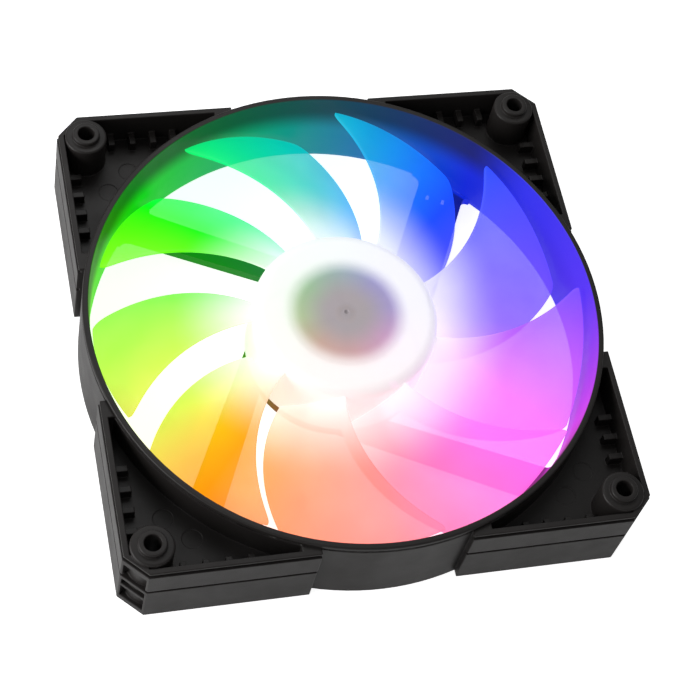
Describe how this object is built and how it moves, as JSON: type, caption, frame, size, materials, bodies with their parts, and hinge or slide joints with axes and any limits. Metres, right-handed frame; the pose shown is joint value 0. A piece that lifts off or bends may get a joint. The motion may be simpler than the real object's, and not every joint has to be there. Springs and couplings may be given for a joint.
{
  "type": "case fan",
  "caption": "Square computer case fan with a black moulded frame, tangential struts, four screw bosses and a lit translucent impeller that spins freely on a sleeve bearing.",
  "frame": {"origin": "on the fan axis at the back face, the face with the struts", "axes": "+Z along the fan axis from the back face towards the open front, +X and +Y square to the sides of the frame"},
  "size_m": [0.142, 0.142, 0.0274],
  "materials": {
    "black_plastic": "black moulded plastic with a fine spark-eroded texture and a soft sheen",
    "frosted_plastic": "translucent frosted white plastic, lit from the hub in a ring of rainbow colours",
    "brass": "turned brass",
    "sintered_bronze": "oil-filled sintered bronze",
    "nylon": "natural nylon",
    "lamination_steel": "stacked punched steel sheets",
    "insulator_plastic": "off-white moulded plastic",
    "enamelled_copper": "layers of enamelled copper wire",
    "tinned_metal": "dull tin plate",
    "board_laminate": "white solder mask on a fibre laminate with copper tracks",
    "chip_resin": "black moulded resin",
    "capacitor_ceramic": "tan ceramic with tinned ends",
    "lamp_plastic": "white lamp housing with a clear resin well",
    "label_film": "blank silver polyester film",
    "cup_steel": "deep-drawn zinc-plated steel",
    "bonded_magnet": "dark rubber-bonded ferrite",
    "shaft_steel": "ground and polished steel"
  },
  "bodies": {
    "frame": {"fan_frame": "black_plastic", "bearing_tube": "brass", "thrust_pad": "nylon", "sleeve_bearing": "sintered_bronze", "shaft_retainer": "nylon", "stator_core": "lamination_steel", "upper_insulator": "insulator_plastic", "lower_insulator": "insulator_plastic", "winding_1": "enamelled_copper", "winding_2": "enamelled_copper", "winding_3": "enamelled_copper", "winding_4": "enamelled_copper", "terminal_pins": "tinned_metal", "motor_board": "board_laminate", "driver_chip": "chip_resin", "hall_sensor": "chip_resin", "input_capacitor": "capacitor_ceramic", "reverse_diode": "chip_resin", "chip_resistors": "chip_resin", "chip_capacitors": "capacitor_ceramic", "led_1": "lamp_plastic", "led_2": "lamp_plastic", "led_3": "lamp_plastic", "led_4": "lamp_plastic", "led_5": "lamp_plastic", "led_6": "lamp_plastic", "led_7": "lamp_plastic", "led_8": "lamp_plastic", "back_label": "label_film"},
    "rotor": {"impeller": "frosted_plastic", "rotor_cup": "cup_steel", "ring_magnet": "bonded_magnet", "shaft": "shaft_steel", "shaft_bushing": "brass", "oil_slinger": "nylon"}
  },
  "joints": [
    {"name": "rotor_spin", "type": "hinge", "parent": "frame", "child": "rotor", "pos_m": [0, 0, 0.0125], "axis": [0, 0, 1], "continuous": true}
  ]
}
